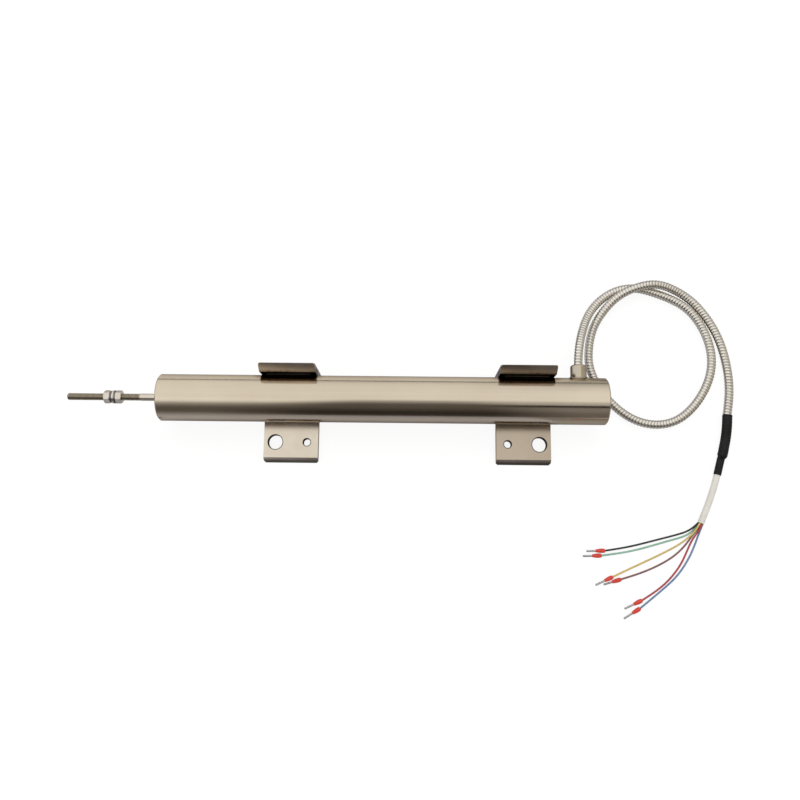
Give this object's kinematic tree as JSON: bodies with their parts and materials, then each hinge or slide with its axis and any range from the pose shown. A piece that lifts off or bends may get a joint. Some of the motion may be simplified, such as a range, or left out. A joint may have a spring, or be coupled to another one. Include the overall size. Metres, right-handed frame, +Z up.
{
  "type": "displacement sensor",
  "caption": "Inductive linear displacement sensor: steel tube welded to angle brackets, sliding threaded rod with clamp nuts, and a lead in flexible metal conduit ending in ferruled wires.",
  "frame": {"origin": "midway between the two large bracket holes, on the underside of the brackets", "axes": "+X along the tube from the rod's end to the rear end, +Y across the feet from the holes towards the tube, +Z up from the surface the brackets rest on"},
  "size_m": [0.4622, 0.2358, 0.04],
  "materials": {
    "tube_steel": "Drawn stainless steel, finely brushed along the tube, warm grey",
    "plug_steel": "Turned stainless steel",
    "bush_ptfe": "White low-friction plastic",
    "liner_steel": "Thin drawn non-magnetic stainless steel",
    "former_plastic": "Moulded glass-filled plastic, straw colour",
    "winding_copper": "Close turns of enamelled copper wire",
    "shield_iron": "Annealed soft-iron tube, dull grey",
    "board_laminate": "Green glass-fibre laminate",
    "terminal_tin": "Tinned brass pins",
    "bracket_steel": "Rolled stainless angle, satin, warm grey",
    "weld_steel": "Weld beads in overlapping drops, darker than the steel round them",
    "outlet_steel": "Turned stainless steel, satin",
    "core_alloy": "Nickel-iron alloy, ground",
    "rod_steel": "Drawn stainless rod with a cut thread",
    "nut_steel": "Bright stainless hexagon nut",
    "spring_steel": "Dark spring steel",
    "washer_steel": "Bright stamped washer",
    "conduit_steel": "Spirally wound interlocked steel strip, pale grey ribs",
    "heat_shrink": "Black heat-shrink sleeve, slightly wrinkled",
    "sheath_white": "Off-white plastic sheath",
    "insulation_black": "Black wire insulation",
    "insulation_green": "Green wire insulation",
    "insulation_yellow": "Yellow wire insulation",
    "insulation_brown": "Brown wire insulation",
    "insulation_red": "Red wire insulation",
    "insulation_blue": "Blue wire insulation",
    "collar_red": "Bright red ferrule collar",
    "pin_tin": "Bright tinned copper ferrule pin"
  },
  "bodies": {
    "housing": {"housing_tube": "tube_steel", "front_plug": "plug_steel", "rear_plug": "plug_steel", "guide_bush": "bush_ptfe", "liner_tube": "liner_steel", "coil_former": "former_plastic", "primary_winding": "winding_copper", "front_secondary": "winding_copper", "rear_secondary": "winding_copper", "magnetic_shield": "shield_iron", "terminal_board": "board_laminate", "terminal_pins": "terminal_tin", "front_bracket": "bracket_steel", "rear_bracket": "bracket_steel", "front_bracket_weld": "weld_steel", "rear_bracket_weld": "weld_steel", "outlet_sleeve": "outlet_steel", "outlet_weld": "weld_steel", "cable_tail": "sheath_white", "metal_conduit": "conduit_steel", "heat_shrink_sleeve": "heat_shrink", "cable_sheath": "sheath_white", "wire_black": "insulation_black", "wire_green": "insulation_green", "wire_yellow": "insulation_yellow", "wire_brown": "insulation_brown", "wire_red": "insulation_red", "wire_blue": "insulation_blue", "collar_black": "collar_red", "collar_green": "collar_red", "collar_yellow": "collar_red", "collar_brown": "collar_red", "collar_red": "collar_red", "collar_blue": "collar_red", "pin_black": "pin_tin", "pin_green": "pin_tin", "pin_yellow": "pin_tin", "pin_brown": "pin_tin", "pin_red": "pin_tin", "pin_blue": "pin_tin"},
    "rod": {"core": "core_alloy", "core_rod": "rod_steel", "outer_nut": "nut_steel", "spring_washer": "spring_steel", "outer_flat_washer": "washer_steel", "inner_flat_washer": "washer_steel", "inner_nut": "nut_steel"}
  },
  "joints": [
    {"name": "rod_slide", "type": "slide", "parent": "housing", "child": "rod", "axis": [-1, 0, 0], "range_m": [0, 0.15]}
  ]
}
